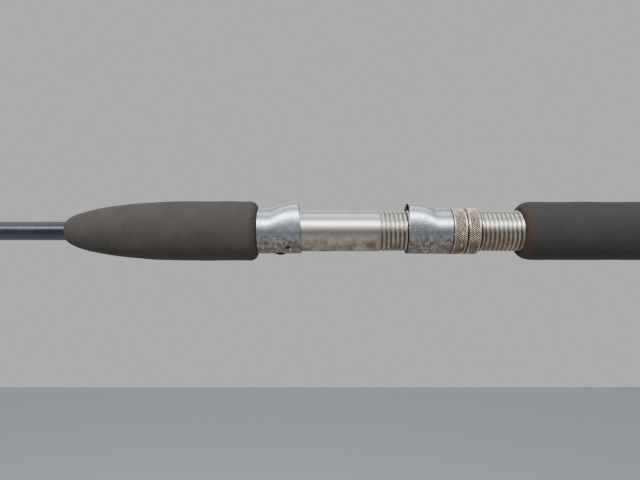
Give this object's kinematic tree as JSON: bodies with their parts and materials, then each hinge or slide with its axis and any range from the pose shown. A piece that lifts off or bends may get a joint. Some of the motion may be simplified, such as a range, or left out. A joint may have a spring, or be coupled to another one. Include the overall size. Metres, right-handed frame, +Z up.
{
  "type": "spinning rod",
  "caption": "Spinning rod: tapered tubular blank joined by a metal ferrule, foam grips, tubular reel seat with screw-locked hood, and wire line guides.",
  "frame": {"origin": "centre of the butt cap's flat end face, on the rod's axis", "axes": "+X along the rod towards the butt end, so the tip is at -X; +Z up, the side that the reel foot and the guides are on; +Y completes the right-handed frame"},
  "size_m": [1.8357, 0.0316, 0.0576],
  "materials": {
    "blank": "gloss",
    "cap_rubber": "matte",
    "rear_foam": "matte",
    "fore_foam": "matte",
    "seat_metal": "satin",
    "hood_metal": "satin",
    "pin_metal": "matte",
    "ring_metal": "satin",
    "bush_fibre": "matte",
    "ferrule_metal": "satin",
    "wrap_thread": "gloss",
    "guide_metal": "polished",
    "guide_ceramic": "gloss"
  },
  "bodies": {
    "root": {"blank_butt_section": "blank", "butt_cap": "cap_rubber", "rear_grip": "rear_foam", "foregrip": "fore_foam", "seat_tube": "seat_metal", "fixed_hood": "hood_metal", "fixed_hood_pins": "pin_metal", "seat_bush_front": "bush_fibre", "seat_bush_middle": "bush_fibre", "seat_bush_rear": "bush_fibre", "ferrule_socket": "ferrule_metal", "ferrule_wrap_butt": "wrap_thread", "guide_1_frame": "guide_metal", "guide_1_ring": "guide_ceramic", "guide_1_wrap_rear": "wrap_thread", "guide_1_wrap_front": "wrap_thread"},
    "moving_hood": {"moving_hood": "hood_metal"},
    "front_lock_ring": {"front_lock_ring": "ring_metal"},
    "rear_lock_ring": {"rear_lock_ring": "ring_metal"},
    "tip_section": {"blank_tip_section": "blank", "ferrule_plug": "ferrule_metal", "ferrule_wrap_tip": "wrap_thread", "tip_guide_frame": "guide_metal", "tip_guide_ring": "guide_ceramic", "tip_guide_wrap": "wrap_thread", "guide_2_frame": "guide_metal", "guide_2_ring": "guide_ceramic", "guide_2_wrap_rear": "wrap_thread", "guide_2_wrap_front": "wrap_thread", "guide_3_frame": "guide_metal", "guide_3_ring": "guide_ceramic", "guide_3_wrap_rear": "wrap_thread", "guide_3_wrap_front": "wrap_thread", "guide_4_frame": "guide_metal", "guide_4_ring": "guide_ceramic", "guide_4_wrap_rear": "wrap_thread", "guide_4_wrap_front": "wrap_thread", "guide_5_frame": "guide_metal", "guide_5_ring": "guide_ceramic", "guide_5_wrap_rear": "wrap_thread", "guide_5_wrap_front": "wrap_thread", "guide_6_frame": "guide_metal", "guide_6_ring": "guide_ceramic", "guide_6_wrap_rear": "wrap_thread", "guide_6_wrap_front": "wrap_thread"}
  },
  "joints": [
    {"name": "hood_slide", "type": "slide", "parent": "root", "child": "moving_hood", "axis": [1, 0, 0], "range_m": [-0.0325, 0.0195]},
    {"name": "front_ring_turn", "type": "hinge", "parent": "moving_hood", "child": "front_lock_ring", "pos_m": [-0.27035, 0, 0], "axis": [1, 0, 0], "range_deg": [-5540, 3330]},
    {"name": "rear_ring_turn", "type": "hinge", "parent": "front_lock_ring", "child": "rear_lock_ring", "pos_m": [-0.26355, 0, 0], "axis": [1, 0, 0], "range_deg": [0, 30]},
    {"name": "tip_section_pull", "type": "slide", "parent": "root", "child": "tip_section", "axis": [-1, 0, 0], "range_m": [0, 0.045]}
  ],
  "couplings": [
    {"joint": "front_ring_turn", "follows": "hood_slide", "rad_per_m": 2968.4}
  ]
}
